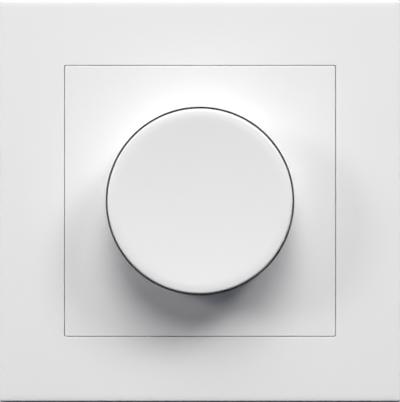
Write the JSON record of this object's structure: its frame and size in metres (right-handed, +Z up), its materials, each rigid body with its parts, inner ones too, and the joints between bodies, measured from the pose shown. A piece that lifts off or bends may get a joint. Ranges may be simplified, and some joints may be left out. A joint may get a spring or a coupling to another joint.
{
  "type": "dimmer switch",
  "caption": "Square flush-mounted rotary dimmer: white cover frame and plate, round push-and-turn knob, steel support ring with spreading claws and a moulded insert.",
  "frame": {"origin": "on the knob's axis, in the plane of the wall's surface, which is the back of the support ring and of the cover frame", "axes": "+X to the right as seen from the room, +Y into the wall, +Z up the wall"},
  "size_m": [0.0816, 0.0451, 0.0816],
  "materials": {
    "white_plastic": "polished moulding",
    "light_grey_plastic": "moulded",
    "dark_grey_plastic": "moulded",
    "black_plastic": "moulded",
    "natural_nylon": "moulded",
    "zinc_plated_steel": "zinc plated",
    "spring_steel": "drawn",
    "turned_steel": "turned",
    "brass": "turned",
    "nickel_plate": "plated",
    "copper_wire": "lacquered",
    "aluminium": "rolled",
    "board_laminate": "solder mask",
    "phenolic": "pressed",
    "epoxy": "moulded",
    "ferrite": "sintered and coated",
    "film_yellow": "moulded",
    "resistor_lacquer": "dipped",
    "trimmer_blue": "moulded",
    "pad_grey": "sheet",
    "fuse_glass": "drawn tube"
  },
  "bodies": {
    "base": {"cover_frame": "white_plastic", "centre_plate": "white_plastic", "spindle_nut": "nickel_plate", "threaded_bush": "brass", "support_ring": "zinc_plated_steel", "front_housing": "light_grey_plastic", "rear_housing": "dark_grey_plastic", "housing_screws": "zinc_plated_steel", "pot_body": "black_plastic", "pot_track": "phenolic", "circuit_board": "board_laminate", "switch_body": "black_plastic", "switch_spring": "spring_steel", "fixed_contacts": "brass", "heat_sink_plate": "aluminium", "insulating_pad": "pad_grey", "triac": "epoxy", "choke_core": "ferrite", "choke_winding": "copper_wire", "suppression_capacitor": "film_yellow", "storage_capacitor": "aluminium", "fuse_tube": "fuse_glass", "fuse_caps": "nickel_plate", "fuse_clips": "brass", "terminal_clamps": "brass", "terminal_screws": "zinc_plated_steel", "trimmer_body": "trimmer_blue", "control_chip": "epoxy", "resistors": "resistor_lacquer", "claw_pins": "turned_steel"},
    "push_carriage": {"switch_plunger": "natural_nylon", "contact_bridge": "brass"},
    "knob_shaft": {"spindle": "turned_steel", "rotary_knob": "white_plastic", "knob_grip_spring": "spring_steel", "spindle_circlip": "spring_steel"},
    "pot_wheel": {"pot_rotor": "natural_nylon", "pot_wiper": "brass"},
    "right_screw": {"claw_screw_right": "zinc_plated_steel"},
    "left_screw": {"claw_screw_left": "zinc_plated_steel"},
    "right_claw": {"claw_right": "zinc_plated_steel"},
    "left_claw": {"claw_left": "zinc_plated_steel"},
    "trimmer": {"trimmer_rotor": "natural_nylon"}
  },
  "joints": [
    {"name": "knob_push", "type": "slide", "parent": "base", "child": "push_carriage", "axis": [0, 1, 0], "range_m": [0, 0.0018], "stiffness_N_per_m": 1500, "springref_m": -0.0012, "deforming": ["switch_spring"]},
    {"name": "knob_turn", "type": "hinge", "parent": "push_carriage", "child": "knob_shaft", "pos_m": [0, 0, 0], "axis": [0, 1, 0], "range_deg": [-135, 135]},
    {"name": "pot_turn", "type": "hinge", "parent": "base", "child": "pot_wheel", "pos_m": [0, 0, 0], "axis": [0, 1, 0], "range_deg": [-135, 135]},
    {"name": "right_screw_turn", "type": "hinge", "parent": "base", "child": "right_screw", "pos_m": [0.0245, 0, 0], "axis": [0, 1, 0], "range_deg": [0, 1247]},
    {"name": "left_screw_turn", "type": "hinge", "parent": "base", "child": "left_screw", "pos_m": [-0.0245, 0, 0], "axis": [0, 1, 0], "range_deg": [0, 1247]},
    {"name": "right_claw_spread", "type": "hinge", "parent": "base", "child": "right_claw", "pos_m": [0.0205, 0.0105, 0], "axis": [0, 0, -1], "range_deg": [0, 25]},
    {"name": "left_claw_spread", "type": "hinge", "parent": "base", "child": "left_claw", "pos_m": [-0.0205, 0.0105, 0], "axis": [0, 0, 1], "range_deg": [0, 25]},
    {"name": "trimmer_turn", "type": "hinge", "parent": "base", "child": "trimmer", "pos_m": [0.0116, 0, -0.0104], "axis": [0, 1, 0], "range_deg": [-120, 120]}
  ],
  "couplings": [
    {"joint": "pot_turn", "follows": "knob_turn", "ratio": 1},
    {"joint": "right_claw_spread", "follows": "right_screw_turn", "ratio": 0.02},
    {"joint": "left_claw_spread", "follows": "left_screw_turn", "ratio": 0.02}
  ]
}
